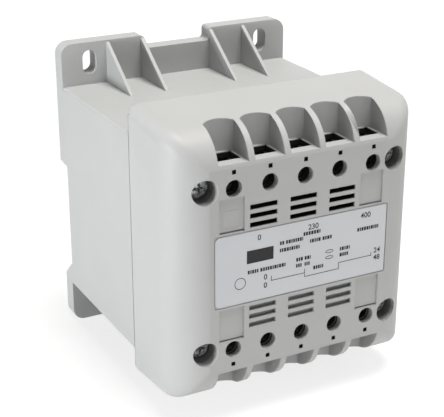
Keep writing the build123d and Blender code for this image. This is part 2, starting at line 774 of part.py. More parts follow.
# Latch that slides down to free the rail
with BuildPart() as din_latch:
    with BuildSketch(Plane.YZ.offset(-latch_width / 2)):
        with BuildLine():
            Polyline(
                (latch_front_y, latch_end_z),
                (latch_front_y, latch_shelf_z),
                (latch_shelf_y, latch_shelf_z),
                (latch_shelf_y, latch_step_z),
                (lip_back_y, latch_step_z),
                (lip_back_y, latch_step_z + latch_nose_reach),
                (lip_back_y + latch_nose_tip, latch_step_z + latch_nose_reach),
                (latch_rear_y, latch_step_z + latch_nose_reach - latch_nose_bevel),
                (latch_rear_y, latch_end_z),
                close=True,
            )
        make_face()
    extrude(amount=latch_width)
    end_corners = din_latch.edges().filter_by(Axis.Y).group_by(Axis.Z)[0]
    fillet(end_corners, latch_end_radius)
    with BuildSketch(Plane.XY.offset(latch_end_z + tongue_above_end)):
        with Locations((0, latch_front_y + tongue_thickness / 2)):
            Rectangle(latch_width + 2 * tongue_width, tongue_thickness)
    extrude(amount=latch_shelf_z - tongue_below_shelf - latch_end_z - tongue_above_end)
    with BuildSketch(Plane.XZ.offset(-latch_rear_y)):
        with Locations((0, (window_top_z + window_bottom_z) / 2)):
            Rectangle(window_width, window_top_z - window_bottom_z)
        with Locations((0, latch_end_z + driver_slot_above_end)):
            Rectangle(driver_slot_width, driver_slot_height)
    extrude(amount=latch_rear_y - latch_front_y, mode=Mode.SUBTRACT)
save(din_latch.part, "din_latch")

# Compression spring in the latch's window, standing on the peg
spring_base_z = peg_bottom_z + peg_height + spring_wire / 2
spring_length = window_top_z - peg_bottom_z - peg_height - spring_wire
spring_y = (guide_front_y + latch_rear_y) / 2
with BuildPart() as latch_spring:
    with BuildLine() as coil:
        Helix(
            pitch=spring_length / spring_turns,
            height=spring_length,
            radius=(spring_diameter - spring_wire) / 2,
            center=(0, spring_y, spring_base_z),
        )
    with BuildSketch(Plane(origin=coil.line @ 0, z_dir=coil.line % 0)):
        Rectangle(spring_wire, spring_wire)
    sweep(path=coil.wire(), is_frenet=True)
save(latch_spring.part, "latch_spring")
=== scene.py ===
import json
import math
import random

import bmesh
import bpy
from mathutils import Matrix, Vector


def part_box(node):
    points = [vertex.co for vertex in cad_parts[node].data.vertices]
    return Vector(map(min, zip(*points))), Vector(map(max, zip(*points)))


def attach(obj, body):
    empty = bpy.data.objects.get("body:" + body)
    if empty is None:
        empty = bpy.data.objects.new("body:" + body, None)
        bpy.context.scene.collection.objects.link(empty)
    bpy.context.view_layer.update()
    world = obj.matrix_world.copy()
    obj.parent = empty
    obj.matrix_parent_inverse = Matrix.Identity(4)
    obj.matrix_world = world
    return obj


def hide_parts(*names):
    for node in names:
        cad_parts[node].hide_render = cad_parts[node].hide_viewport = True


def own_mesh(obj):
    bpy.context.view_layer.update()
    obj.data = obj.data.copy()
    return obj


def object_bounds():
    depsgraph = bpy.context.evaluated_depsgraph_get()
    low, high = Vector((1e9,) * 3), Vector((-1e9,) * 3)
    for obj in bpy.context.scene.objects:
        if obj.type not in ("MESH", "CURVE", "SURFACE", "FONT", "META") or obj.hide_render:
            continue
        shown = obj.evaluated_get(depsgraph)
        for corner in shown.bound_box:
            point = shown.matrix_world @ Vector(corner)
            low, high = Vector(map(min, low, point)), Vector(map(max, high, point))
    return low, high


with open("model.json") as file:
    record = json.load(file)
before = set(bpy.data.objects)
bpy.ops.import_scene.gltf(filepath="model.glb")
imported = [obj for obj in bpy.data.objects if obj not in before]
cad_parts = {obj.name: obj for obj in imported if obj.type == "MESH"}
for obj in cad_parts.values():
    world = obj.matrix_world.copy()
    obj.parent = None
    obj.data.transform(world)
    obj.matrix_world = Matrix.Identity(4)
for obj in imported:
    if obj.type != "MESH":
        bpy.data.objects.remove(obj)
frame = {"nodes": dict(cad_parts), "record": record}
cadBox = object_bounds()
mm = 0.001
nodes = frame["nodes"]


def centreOf(node):
    low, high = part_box(node)
    return (low + high) / 2


coverHeadRadius = 3.5 * mm

# Case middle, front plane and terminal rows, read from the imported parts
terminalPlaces = {name: centreOf(name) for name in nodes if name.startswith("terminal_screw")}
caseMiddleZ = centreOf("bobbin").z
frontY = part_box("front_cover")[0].y
labelLow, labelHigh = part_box("rating_label")
poleLow = min(place.x for place in terminalPlaces.values())
poleHigh = max(place.x for place in terminalPlaces.values())
polePitch = (poleHigh - poleLow) / (len(terminalPlaces) / 2 - 1)
rowHalf = max(place.z for place in terminalPlaces.values()) - caseMiddleZ
coverScrewReach = (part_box("cover_screws")[1].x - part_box("cover_screws")[0].x) / 2 - coverHeadRadius
print("frame read,", len(nodes), "nodes")


# Node trees

# A socket that takes part in Python sums; each sum adds its Math node.
class Value:
    def __init__(self, tree, socket):
        self.tree = tree
        self.socket = socket

    def math(self, operation, *others):
        return self.tree.value("ShaderNodeMath", {"operation": operation}, [self, *others])

    def mathAfter(self, operation, other):
        return self.tree.value("ShaderNodeMath", {"operation": operation}, [other, self])

    def __add__(self, other):
        return self.math("ADD", other)

    def __sub__(self, other):
        return self.math("SUBTRACT", other)

    def __mul__(self, other):
        return self.math("MULTIPLY", other)

    def __truediv__(self, other):
        return self.math("DIVIDE", other)

    def __radd__(self, other):
        return self.math("ADD", other)

    def __rsub__(self, other):
        return self.mathAfter("SUBTRACT", other)

    def __rmul__(self, other):
        return self.math("MULTIPLY", other)

    def __rtruediv__(self, other):
        return self.mathAfter("DIVIDE", other)


# A shader or geometry tree with one way to add nodes.
class Tree:
    def __init__(self, nodeTree):
        self.nodeTree = nodeTree

    def add(self, kind, settings=None, sockets=None):
        node = self.nodeTree.nodes.new(kind)
        for key, value in (settings or {}).items():
            setattr(node, key, value)
        given = sockets.items() if isinstance(sockets, dict) else enumerate(sockets or [])
        for key, value in given:
            socket = node.inputs[key]
            if isinstance(value, Value):
                self.nodeTree.links.new(value.socket, socket)
            elif isinstance(value, bpy.types.NodeSocket):
                self.nodeTree.links.new(value, socket)
            else:
                socket.default_value = value
        return node

    def value(self, kind, settings=None, sockets=None, output=0):
        return Value(self, self.add(kind, settings, sockets).outputs[output])


def grey(level):
    return (level, level, level, 1.0)


def newMaterial(name, baseColour, roughness, metallic=0.0, specular=0.5):
    material = bpy.data.materials.new(name)
    material.use_nodes = True
    tree = Tree(material.node_tree)
    shader = material.node_tree.nodes["Principled BSDF"]
    shader.inputs["Base Color"].default_value = baseColour
    shader.inputs["Roughness"].default_value = roughness
    shader.inputs["Metallic"].default_value = metallic
    shader.inputs["Specular IOR Level"].default_value = specular
    return material, tree, shader


def objectPoint(tree, scale=(1.0, 1.0, 1.0)):
    coordinates = tree.add("ShaderNodeTexCoord").outputs["Object"]
    return tree.add("ShaderNodeMapping", None, {"Vector": coordinates, "Scale": scale}).outputs[0]


# X, Y and Z of the shaded point, in metres.
def placeValues(tree):
    coordinates = tree.add("ShaderNodeTexCoord").outputs["Object"]
    place = tree.add("ShaderNodeSeparateXYZ", None, [coordinates])
    return [Value(tree, place.outputs[index]) for index in range(3)]


def noise(tree, point, scale, detail=2.0, roughness=0.5):
    return tree.value("ShaderNodeTexNoise", None, {
        "Vector": point, "Scale": scale, "Detail": detail, "Roughness": roughness})


def mixColour(tree, factor, first, second):
    return tree.add("ShaderNodeMix", {"data_type": "RGBA"}, {0: factor, 6: first, 7: second}).outputs[2]


def bump(tree, height, strength, distance, normal=None):
    sockets = {"Height": height, "Strength": strength, "Distance": distance}
    if normal is not None:
        sockets["Normal"] = normal
    return tree.add("ShaderNodeBump", None, sockets).outputs[0]


# Where the cover opens onto the black blocks and the dark inside; there its own walls get painted shade, the
# lower holes a painted lighter ring
paintedShadeOpenings = {
    "holeRadius": 3.1 * mm,
    "holeDepth": 2.5 * mm,
    # painted light: a lighter ring deep in the lower driver holes
    "ringDepths": (3.1 * mm, 3.9 * mm),
    "ringPaintedLight": 0.6,
    # painted shade in the cover screw recesses
    "recessRadius": 4.5 * mm,
    "recessDepth": 3.6 * mm,
    "recessPaintedShade": 0.5,
    "markerReach": 5.6 * mm,
    "markerHalf": 0.85 * mm,
    "markerDepth": 0.2 * mm,
    "wireHalf": 5.0 * mm,
    "wireDepths": (4.3 * mm, 12.1 * mm),
    "wireLevels": (34.2 * mm, 36.6 * mm),
    "ventHalf": 21.0 * mm,
    "ventLevels": (12.4 * mm, 23.6 * mm),
    "ventDepth": 0.5 * mm,
    # painted shade: the blind lower vents take only this share of it
    "blindVentPaintedShade": 0.28,
    # painted shade: a dark band along the side seam, wider than its real gap
    "seamDepths": (34.0 * mm, 34.6 * mm),
    "seamReach": 46.7 * mm,
    "seamPaintedShade": 0.6,
}


def between(value, low, high):
    return value.math("GREATER_THAN", low) * value.math("LESS_THAN", high)


# Mask of painted shade on the cover: dark walls in the driver holes, marker pits, wire openings, vents and
# screw recesses and a dark band at the side seam, with a painted lighter ring in the lower holes; its two
# rows mirror each other about the case middle.
def coverPaintedShade(tree):
    x, y, z = placeValues(tree)
    across = x - (poleLow + poleHigh) / 2
    inRow = across.math("ABSOLUTE").math("LESS_THAN", (poleHigh - poleLow + polePitch) / 2)
    along = across.math("WRAP", polePitch / 2, -polePitch / 2)
    depth = y - frontY
    height = z - caseMiddleZ
    level = height.math("ABSOLUTE")
    reach = level - rowHalf
    sideways = x.math("ABSOLUTE")
    lowerHalf = height.math("LESS_THAN", 0.0)
    hole = (along * along + reach * reach).math("LESS_THAN", paintedShadeOpenings["holeRadius"] ** 2)
    hole = hole * depth.math("GREATER_THAN", paintedShadeOpenings["holeDepth"])
    ring = lowerHalf * between(depth, *paintedShadeOpenings["ringDepths"])
    hole = hole * (1.0 - ring * paintedShadeOpenings["ringPaintedLight"])
    aside = sideways - coverScrewReach
    recess = (aside * aside + reach * reach).math("LESS_THAN", paintedShadeOpenings["recessRadius"] ** 2)
    recess = recess * depth.math("GREATER_THAN", paintedShadeOpenings["recessDepth"]) * paintedShadeOpenings["recessPaintedShade"]
    side = along.math("ABSOLUTE")
    beyond = (reach - paintedShadeOpenings["markerReach"]).math("ABSOLUTE")
    marker = side.math("MAXIMUM", beyond).math("LESS_THAN", paintedShadeOpenings["markerHalf"])
    marker = marker * depth.math("GREATER_THAN", paintedShadeOpenings["markerDepth"])
    wire = side.math("LESS_THAN", paintedShadeOpenings["wireHalf"]) * between(depth, *paintedShadeOpenings["wireDepths"])
    wire = wire * between(level, *paintedShadeOpenings["wireLevels"])
    vent = sideways.math("LESS_THAN", paintedShadeOpenings["ventHalf"]) * between(level, *paintedShadeOpenings["ventLevels"])
    vent = vent * depth.math("GREATER_THAN", paintedShadeOpenings["ventDepth"])
    vent = vent * (1.0 - lowerHalf * (1.0 - paintedShadeOpenings["blindVentPaintedShade"]))
    dark = (hole.math("MAXIMUM", marker).math("MAXIMUM", wire) * inRow).math("MAXIMUM", vent)
    seam = sideways.math("GREATER_THAN", paintedShadeOpenings["seamReach"]) * between(depth, *paintedShadeOpenings["seamDepths"])
    seam = seam * paintedShadeOpenings["seamPaintedShade"]
    return dark.math("MAXIMUM", recess).math("MAXIMUM", seam)


# A raised square in the upper left marking field, placed from the case middle
square = {"across": -26.6 * mm, "up": 18.1 * mm, "half": 3.1 * mm, "line": 0.28 * mm, "height": 0.25 * mm}


def coverRelief(tree):
    x, y, z = placeValues(tree)
    aside = (x - square["across"]).math("ABSOLUTE")
    level = (z - (caseMiddleZ + square["up"])).math("ABSOLUTE")
    return between(aside.math("MAXIMUM", level), square["half"] - square["line"], square["half"])


# Finishes

plastic = {
    "cloudScale": 38.0,
    "grainScale": 2600.0,
    "coarseScale": 900.0,
    "darkest": 0.94,  # darkest patches, as a share of the colour
    # near-black grey of the painted shade in the cover's hollows
    "paintedShadeLevel": 0.012,
    "roughnessSpread": 0.12,
    "grainStrength": 0.35,
    "edgeSamples": 4,
}


# Moulded plastic: fine grain, slight changes of shade, softened edges.
# The painted shade mask turns it near black where shade falls in holes and recesses, the relief mask raises
# thin lines.
def mouldedPlastic(name, colour, roughness, grainDepth, edgeRadius, paintedShadeMask=None, relief=None):
    material, tree, shader = newMaterial(name, colour, roughness, specular=0.4)
    point = objectPoint(tree)
    cloud = noise(tree, point, plastic["cloudScale"], 3.0)
    grain = noise(tree, point, plastic["grainScale"], 2.0, 0.6)
    coarse = noise(tree, point, plastic["coarseScale"], 1.0)
    darker = tuple(channel * plastic["darkest"] for channel in colour[:3]) + (1.0,)
    link = tree.nodeTree.links.new
    shade = mixColour(tree, (cloud - 0.3) * 1.6, darker, colour)
    if paintedShadeMask:
        # painted shade: near black in the cover's holes, vents, recesses and seam
        shade = mixColour(tree, paintedShadeMask(tree), shade, grey(plastic["paintedShadeLevel"]))
    link(shade, shader.inputs["Base Color"])
    spread = plastic["roughnessSpread"]
    link((roughness - spread / 2 + spread * grain).socket, shader.inputs["Roughness"])
    soft = None
    if edgeRadius:
        bevel = tree.add("ShaderNodeBevel", {"samples": plastic["edgeSamples"]}, {"Radius": edgeRadius})
        soft = bevel.outputs[0]
    if relief:
        soft = bump(tree, relief(tree), 1.0, square["height"], soft)
    height = grain * 0.7 + coarse * 0.3
    link(bump(tree, height, plastic["grainStrength"], grainDepth, soft), shader.inputs["Normal"])
    return material


plating = {"lineScale": 1400.0, "lineStretch": 12.0, "lineDepth": 0.00002, "roughnessSpread": 0.2}


# Zinc, tin or darkened plating: fine drawn lines and patches of a second tint. On the cover screws the dark
# base and near-white patches are painted reflections; on the terminal screws the near-black colour is painted
# shade.
def platedSteel(name, colour, roughness, tintAndGlint, patchScale=420.0, metallic=1.0):
    material, tree, shader = newMaterial(name, colour, roughness, metallic)
    point = objectPoint(tree)
    patches = noise(tree, point, patchScale, 2.0)
    lines = noise(tree, objectPoint(tree, (1.0, plating["lineStretch"], 1.0)), plating["lineScale"], 2.0)
    link = tree.nodeTree.links.new
    link(mixColour(tree, (patches - 0.35) * 2.0, colour, tintAndGlint), shader.inputs["Base Color"])
    link((roughness - 0.08 + plating["roughnessSpread"] * lines).socket, shader.inputs["Roughness"])
    link(bump(tree, lines, 0.12, plating["lineDepth"]), shader.inputs["Normal"])
    return material


# Printed film: nearly smooth, with the faintest orange peel.
def labelFilm(name):
    material, tree, shader = newMaterial(name, (0.54, 0.555, 0.585, 1.0), 0.42, specular=0.4)
    point = objectPoint(tree)
    cloud = noise(tree, point, 60.0, 2.0)
    peel = noise(tree, point, 1200.0, 1.0)
    link = tree.nodeTree.links.new
    paper = mixColour(tree, cloud, (0.53, 0.545, 0.575, 1.0), (0.555, 0.57, 0.6, 1.0))
    link(paper, shader.inputs["Base Color"])
    link((0.38 + 0.08 * peel).socket, shader.inputs["Roughness"])
    link(bump(tree, peel, 0.1, 0.00001), shader.inputs["Normal"])
    return material


# Varnished sheet edges: each sheet a little lighter or darker than the next.
def laminatedSteel(name):
    material, tree, shader = newMaterial(name, (0.1, 0.1, 0.11, 1.0), 0.45, metallic=0.75)
    sheets = noise(tree, objectPoint(tree, (0.02, 1.0, 0.02)), 2000.0, 1.0)
    varnish = noise(tree, objectPoint(tree), 90.0, 3.0)
    link = tree.nodeTree.links.new
    link(mixColour(tree, sheets, (0.07, 0.07, 0.08, 1.0), (0.2, 0.2, 0.21, 1.0)), shader.inputs["Base Color"])
    link((0.35 + 0.25 * varnish).socket, shader.inputs["Roughness"])
    link(bump(tree, sheets, 0.3, 0.00005), shader.inputs["Normal"])
    return material


# Copper under clear enamel, with slight changes between turns.
def enamelledCopper(name):
    material, tree, shader = newMaterial(name, (0.55, 0.22, 0.09, 1.0), 0.3, metallic=0.9)
    turns = noise(tree, objectPoint(tree, (0.1, 0.1, 1.0)), 1500.0, 1.0)
    link = tree.nodeTree.links.new
    copper = mixColour(tree, turns, (0.42, 0.15, 0.05, 1.0), (0.66, 0.28, 0.11, 1.0))
    link(copper, shader.inputs["Base Color"])
    link((0.24 + 0.14 * turns).socket, shader.inputs["Roughness"])
    shader.inputs["Coat Weight"].default_value = 0.5
    shader.inputs["Coat Roughness"].default_value = 0.15
    return material


def springWire(name):
    material, tree, shader = newMaterial(name, (0.42, 0.42, 0.43, 1.0), 0.28, metallic=1.0)
    drawn = noise(tree, objectPoint(tree), 2500.0, 2.0)
    link = tree.nodeTree.links.new
    link((0.2 + 0.16 * drawn).socket, shader.inputs["Roughness"])
    link(mixColour(tree, drawn, (0.36, 0.36, 0.37, 1.0), (0.5, 0.5, 0.51, 1.0)), shader.inputs["Base Color"])
    return material


# Colour, roughness and, for plastic, depth of grain and radius of edges in metres
finishes = {
    "case_plastic": mouldedPlastic("caseMoulding", (0.415, 0.42, 0.421, 1.0), 0.52, 0.00006, 0.0004),
    # the cover's material carries its painted shade
    "cover_plastic": mouldedPlastic(
        "coverMouldingPaintedShade", (0.42, 0.425, 0.426, 1.0), 0.5, 0.00006, 0.00035, coverPaintedShade, coverRelief),
    "block_plastic": mouldedPlastic("terminalBlockMoulding", (0.05, 0.05, 0.05, 1.0), 0.5, 0.00005, 0.0),
    "bobbin_plastic": mouldedPlastic("bobbinMoulding", (0.03, 0.03, 0.032, 1.0), 0.45, 0.00005, 0.0),
    "latch_plastic": mouldedPlastic("latchMoulding", (0.035, 0.035, 0.037, 1.0), 0.42, 0.00006, 0.0003),
    "lead_sleeve": mouldedPlastic("leadSleeve", (0.42, 0.04, 0.03, 1.0), 0.4, 0.00002, 0.0),
    "zinc_steel": platedSteel("zincPlating", (0.36, 0.36, 0.36, 1.0), 0.26, (0.52, 0.52, 0.49, 1.0)),
    "tinned_brass": platedSteel("tinPlating", (0.66, 0.63, 0.56, 1.0), 0.36, (0.72, 0.66, 0.5, 1.0)),
    "label_film": labelFilm("labelFilm"),
    # zinc plating, with its dark base and near-white patches as painted reflections of the surroundings
    "cover_screw": platedSteel(
        "coverScrewZincPaintedGlints", (0.1, 0.1, 0.11, 1.0), 0.3, (1.0, 1.0, 0.98, 1.0), 1300.0, 0.5),
    # painted shade: terminal screw heads near black, for the shade deep in their holes
    "dark_screw": platedSteel("terminalScrewPaintedShade", (0.07, 0.07, 0.07, 1.0), 0.36, (0.1, 0.095, 0.085, 1.0)),
    "tape": mouldedPlastic("windingTape", (0.70, 0.56, 0.08, 1.0), 0.3, 0.00001, 0.0),
    "core_steel": laminatedSteel("laminatedCore"),
    "copper_wire": enamelledCopper("enamelledCopper"),
    "spring_steel": springWire("springWire"),
    "print_ink": mouldedPlastic("printInk", (0.008, 0.008, 0.010, 1.0), 0.6, 0.000005, 0.0),
}
slotOf = {row["node"]: row["material_slot"] for row in frame["record"]["subparts"]}
for name, item in nodes.items():
    for index in range(len(item.material_slots)):
        item.material_slots[index].material = finishes[slotOf[name]]
print("finishes set on", len(slotOf), "nodes")


# Camera and light

view = {
    "place": (-0.1941, -0.4056, 0.1740),
    "target": (-0.0145, -0.0639, 0.0180),
    "lens": 97.54,
    "sensor": 36.0,
}
camera = bpy.data.objects.new("photoCamera", bpy.data.cameras.new("photoCamera"))
bpy.context.collection.objects.link(camera)
camera.location = view["place"]
sight = Vector(view["target"]) - Vector(view["place"])
camera.rotation_euler = sight.to_track_quat("-Z", "Y").to_euler()
camera.data.lens = view["lens"]
camera.data.sensor_width = view["sensor"]
bpy.context.scene.camera = camera

studio = {
    "ambient": 0.16,
    "lamps": (
        # name, place, size, strength in watts, colour
        ("topLamp", (0.10, -0.17, 0.90), 0.45, 11.0, (1.0, 0.98, 0.945)),
        ("leftLamp", (-0.50, -0.10, 0.01), 0.1, 1.85, (0.97, 0.99, 1.0)),
        ("frontLamp", (0.06, -1.10, 0.02), 0.2, 1.7, (0.985, 0.995, 1.0)),
    ),
    "aim": (0.0, -0.045, 0.01),
    "floorSize": 8.0,
    "floorColour": 0.92,
    "floorGlow": 1.1,
    "nearShare": 0.65,  # share of plain white under the object
    "shareGrowth": 0.8,  # added with each metre
}
for name, place, size, strength, colour in studio["lamps"]:
    lamp = bpy.data.lights.new(name, "AREA")
    lamp.shape = "SQUARE"
    lamp.size = size
    lamp.energy = strength
    lamp.color = colour
    item = bpy.data.objects.new(name, lamp)
    item.location = place
    item.rotation_euler = (Vector(studio["aim"]) - Vector(place)).to_track_quat("-Z", "Y").to_euler()
    bpy.context.collection.objects.link(item)


# One for rays that show the background: camera, mirror and glass rays.
def seenRays(tree):
    path = tree.add("ShaderNodeLightPath").outputs
    seen = Value(tree, path["Is Camera Ray"])
    for kind in ("Is Glossy Ray", "Is Transmission Ray"):
        seen = seen.math("MAXIMUM", path[kind])
    return seen


world = bpy.data.worlds.new("paleStudio")
world.use_nodes = True
bpy.context.scene.world = world
worldTree = Tree(world.node_tree)
background = world.node_tree.nodes["Background"]
background.inputs["Color"].default_value = grey(1.0)
strength = studio["ambient"] + (1.0 - studio["ambient"]) * seenRays(worldTree)
world.node_tree.links.new(strength.socket, background.inputs["Strength"])
bpy.context.scene.view_settings.view_transform = "Standard"


def makeFloor(name, height):
    mesh = bpy.data.meshes.new(name)
    half = studio["floorSize"] / 2
    corners = [(-half, -half, height), (half, -half, height), (half, half, height), (-half, half, height)]
    mesh.from_pydata(corners, [], [(0, 1, 2, 3)])
    item = bpy.data.objects.new(name, mesh)
    bpy.context.collection.objects.link(item)
    material, tree, shader = newMaterial("paleFloor", grey(studio["floorColour"]), 0.9, specular=0.0)
    glow = tree.add("ShaderNodeEmission", None, {"Color": grey(1.0), "Strength": studio["floorGlow"]})
    # Near the object the floor still takes its soft shadow, further out it is plain white
    x, y = placeValues(tree)[:2]
    away = (x * x + y * y).math("SQRT")
    glowShare = (studio["nearShare"] + studio["shareGrowth"] * away).math("MINIMUM", 1.0)
    blend = tree.add("ShaderNodeMixShader", None, {
        0: seenRays(tree) * glowShare, 1: shader.outputs[0], 2: glow.outputs[0]})
    output = tree.nodeTree.nodes["Material Output"]
    tree.nodeTree.links.new(blend.outputs[0], output.inputs["Surface"])
    mesh.materials.append(material)


makeFloor("studioFloor", cadBox[0][2])
print("camera, lamps and floor set")


# Making pieces

# Turns a bmesh into a mesh with its faces outwards.
def meshOf(name, form):
    bmesh.ops.recalc_face_normals(form, faces=form.faces)
    mesh = bpy.data.meshes.new(name)
    form.to_mesh(mesh)
    form.free()
    return mesh


def evaluatedMesh(item):
    graph = bpy.context.evaluated_depsgraph_get()
    return bpy.data.meshes.new_from_object(item.evaluated_get(graph))


def linked(name, data):
    item = bpy.data.objects.new(name, data)
    bpy.context.collection.objects.link(item)
    return item


# Puts a finished mesh on its body, with its material slot.
def finishPiece(name, mesh, body, finish, replaced=(), sharpAngle=35.0):
    mesh.materials.clear()
    mesh.materials.append(finish)
    mesh.shade_smooth()
    mesh.set_sharp_from_angle(angle=math.radians(sharpAngle))
    item = linked(name, mesh)
    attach(item, body)
    if replaced:
        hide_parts(*replaced)
    return item


# Adds a closed turned shape round Z from (radius, height) pairs.
def lathe(form, profile, segments):
    rings = []
    for radius, height in profile:
        if radius == 0.0:
            rings.append([form.verts.new((0.0, 0.0, height))])
            continue
        ring = []
        for step in range(segments):
            turn = 2 * math.pi * step / segments
            ring.append(form.verts.new((radius * math.cos(turn), radius * math.sin(turn), height)))
        rings.append(ring)
    for lower, upper in zip(rings, rings[1:]):
        for step in range(segments):
            after = (step + 1) % segments
            if len(lower) == 1:
                form.faces.new((lower[0], upper[after], upper[step]))
            elif len(upper) == 1:
                form.faces.new((lower[step], lower[after], upper[0]))
            else:
                form.faces.new((lower[step], lower[after], upper[after], upper[step]))


def crossOutline(length, width):
    a, b = length / 2, width / 2
    return [(a, -b), (a, b), (b, b), (b, a), (-b, a), (-b, b),
            (-a, b), (-a, -b), (-b, -b), (-b, -a), (b, -a), (b, -b)]


# Adds a closed box between its lowest and highest corner.
def addBox(form, low, high):
    spans = list(zip(low, high))
    corners = [form.verts.new((x, y, z)) for z in spans[2] for y in spans[1] for x in spans[0]]
    for face in ((0, 2, 3, 1), (4, 5, 7, 6), (0, 1, 5, 4), (2, 6, 7, 3), (0, 4, 6, 2), (1, 3, 7, 5)):
        form.faces.new([corners[index] for index in face])


# Geometry trees

# A geometry tree with named inputs; kinds are Float, Int, Object or Material.
def newGeometryTree(name, inputs):
    nodeTree = bpy.data.node_groups.new(name, "GeometryNodeTree")
    nodeTree.interface.new_socket("Geometry", in_out="INPUT", socket_type="NodeSocketGeometry")
    for title, kind in inputs.items():
        nodeTree.interface.new_socket(title, in_out="INPUT", socket_type="NodeSocket" + kind)
    nodeTree.interface.new_socket("Geometry", in_out="OUTPUT", socket_type="NodeSocketGeometry")
    tree = Tree(nodeTree)
    given = tree.add("NodeGroupInput")
    values = {title: Value(tree, given.outputs[title]) for title in ("Geometry", *inputs)}
    return tree, values


# Ends a tree in real geometry with its material.
def closeTree(tree, geometry, finish):
    real = tree.add("GeometryNodeRealizeInstances", None, {"Geometry": geometry}).outputs[0]
    done = tree.add("GeometryNodeSetMaterial", None, {"Geometry": real, "Material": finish}).outputs[0]
    tree.add("NodeGroupOutput", None, {"Geometry": done})
    return tree.nodeTree


# Runs a geometry tree on a mesh and returns the plain mesh it makes.
def grow(nodeTree, sourceMesh, values):
    item = linked("growing", sourceMesh)
    modifier = item.modifiers.new("tree", "NODES")
    modifier.node_group = nodeTree
    for socket in nodeTree.interface.items_tree:
        if socket.in_out == "INPUT" and socket.name in values:
            modifier[socket.identifier] = values[socket.name]
    mesh = evaluatedMesh(item)
    item.modifiers.remove(modifier)
    bpy.data.objects.remove(item)
    return mesh


def pointMesh(places):
    mesh = bpy.data.meshes.new("places")
    mesh.from_pydata([tuple(place) for place in places], [], [])
    return mesh


def joined(tree, *parts):
    node = tree.add("GeometryNodeJoinGeometry")
    for part in reversed(parts):
        tree.nodeTree.links.new(part.socket if isinstance(part, Value) else part, node.inputs[0])
    return node.outputs[0]


def moved(tree, geometry, place):
    return tree.add("GeometryNodeTransform", None, {"Geometry": geometry, "Translation": place}).outputs[0]


def vectorOf(tree, x, y, z):
    return tree.add("ShaderNodeCombineXYZ", None, [x, y, z]).outputs[0]


# A screw at each point, its axis along Y: plain shank, threaded end and a head from an object.
def screwTree():
    tree, given = newGeometryTree("screwTree", {
        "Head": "Object", "Finish": "Material", "Shank Radius": "Float", "Thread Depth": "Float",
        "Plain Length": "Float", "Thread Length": "Float", "Pitch": "Float"})
    radius, depth = given["Shank Radius"], given["Thread Depth"]
    plain, threaded, pitch = given["Plain Length"], given["Thread Length"], given["Pitch"]
    head = tree.add("GeometryNodeObjectInfo", None, {"Object": given["Head"]}).outputs["Geometry"]
    rod = tree.add("GeometryNodeMeshCylinder", None, {
        "Vertices": 24, "Radius": radius - depth * 0.5, "Depth": plain}).outputs["Mesh"]
    rod = moved(tree, rod, vectorOf(tree, 0.0, 0.0, plain * -0.5))
    core = tree.add("GeometryNodeMeshCylinder", None, {
        "Vertices": 16, "Radius": radius - depth, "Depth": threaded}).outputs["Mesh"]
    core = moved(tree, core, vectorOf(tree, 0.0, 0.0, plain * -1.0 - threaded * 0.5))
    helix = tree.add("GeometryNodeCurveSpiral", None, {
        "Resolution": 18, "Rotations": (threaded - depth) / pitch, "Start Radius": radius - depth * 0.75,
        "End Radius": radius - depth * 0.75, "Height": threaded - depth}).outputs[0]
    helix = moved(tree, helix, vectorOf(tree, 0.0, 0.0, plain * -1.0 - threaded + depth * 0.5))
    ridge = tree.add("GeometryNodeCurvePrimitiveCircle", None, {
        "Resolution": 4, "Radius": depth * 0.7}).outputs[0]
    thread = tree.add("GeometryNodeCurveToMesh", None, {
        "Curve": helix, "Profile Curve": ridge, "Fill Caps": True}).outputs[0]
    stood = tree.add("GeometryNodeInstanceOnPoints", None, {
        "Points": given["Geometry"], "Instance": joined(tree, head, rod, core, thread),
        "Rotation": (math.pi / 2, 0.0, 0.0)}).outputs[0]
    return closeTree(tree, stood, given["Finish"])


# A wire coil that climbs along Z from the origin; its end turns lie closer together.
def coilTree():
    tree, given = newGeometryTree("coilTree", {
        "Radius": "Float", "Wire Radius": "Float", "Length": "Float", "Turns": "Float",
        "Points": "Int", "End Closing": "Float", "Finish": "Material"})
    line = tree.add("GeometryNodeMeshLine", None, {"Count": given["Points"]}).outputs[0]
    share = tree.value("GeometryNodeInputIndex") / (given["Points"] - 1.0)
    turn = share * given["Turns"] * (2 * math.pi)
    closing = (share * (2 * math.pi)).math("SINE") * given["End Closing"]
    place = vectorOf(tree, turn.math("COSINE") * given["Radius"], turn.math("SINE") * given["Radius"],
                     (share - closing) * given["Length"])
    curve = tree.add("GeometryNodeMeshToCurve", None, {"Mesh": line}).outputs[0]
    curve = tree.add("GeometryNodeSetPosition", None, {"Geometry": curve, "Position": place}).outputs[0]
    wire = tree.add("GeometryNodeCurvePrimitiveCircle", None, {
        "Resolution": 10, "Radius": given["Wire Radius"]}).outputs[0]
    coil = tree.add("GeometryNodeCurveToMesh", None, {
        "Curve": curve, "Profile Curve": wire, "Fill Caps": True}).outputs[0]
    return closeTree(tree, coil, given["Finish"])


